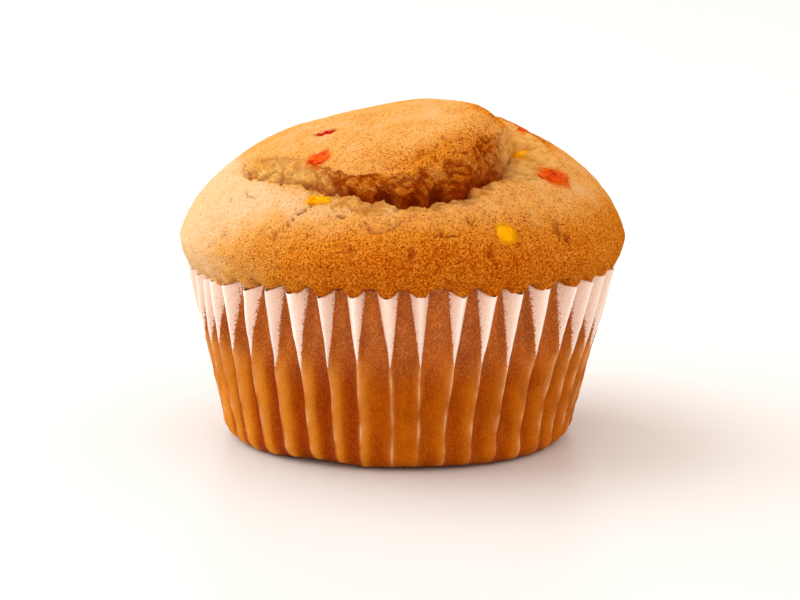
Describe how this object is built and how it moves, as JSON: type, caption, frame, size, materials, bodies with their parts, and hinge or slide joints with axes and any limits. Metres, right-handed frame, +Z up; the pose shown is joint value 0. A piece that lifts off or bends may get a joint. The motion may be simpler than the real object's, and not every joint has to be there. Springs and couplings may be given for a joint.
{
  "type": "muffin",
  "caption": "Domed muffin with a torn, raised crown and bits of candied fruit, resting in a pleated paper baking case.",
  "frame": {"origin": "centre of the flat round base of the paper case, on the surface it rests on", "axes": "+Z up through the muffin, -Y towards its front, where the crack in the top is, +X to its right"},
  "size_m": [0.0708, 0.0708, 0.0535],
  "materials": {
    "cake": null,
    "paper": "thin greaseproof paper, pinkish white where it is dry and brown where the cake's fat has soaked in",
    "red_fruit": null,
    "orange_fruit": null,
    "yellow_fruit": null
  },
  "bodies": {
    "root": {"cake": "cake", "paper_case": "paper", "red_bit_crown_front": "red_fruit", "orange_bit_crown_left": "orange_fruit", "yellow_bit_lip_left": "yellow_fruit", "yellow_bit_crust_right": "yellow_fruit", "orange_bit_rim_right": "orange_fruit", "yellow_bit_crumb_right": "yellow_fruit", "orange_bit_rim_back": "orange_fruit", "red_bit_back": "red_fruit", "yellow_bit_left_back": "yellow_fruit"}
  },
  "joints": []
}
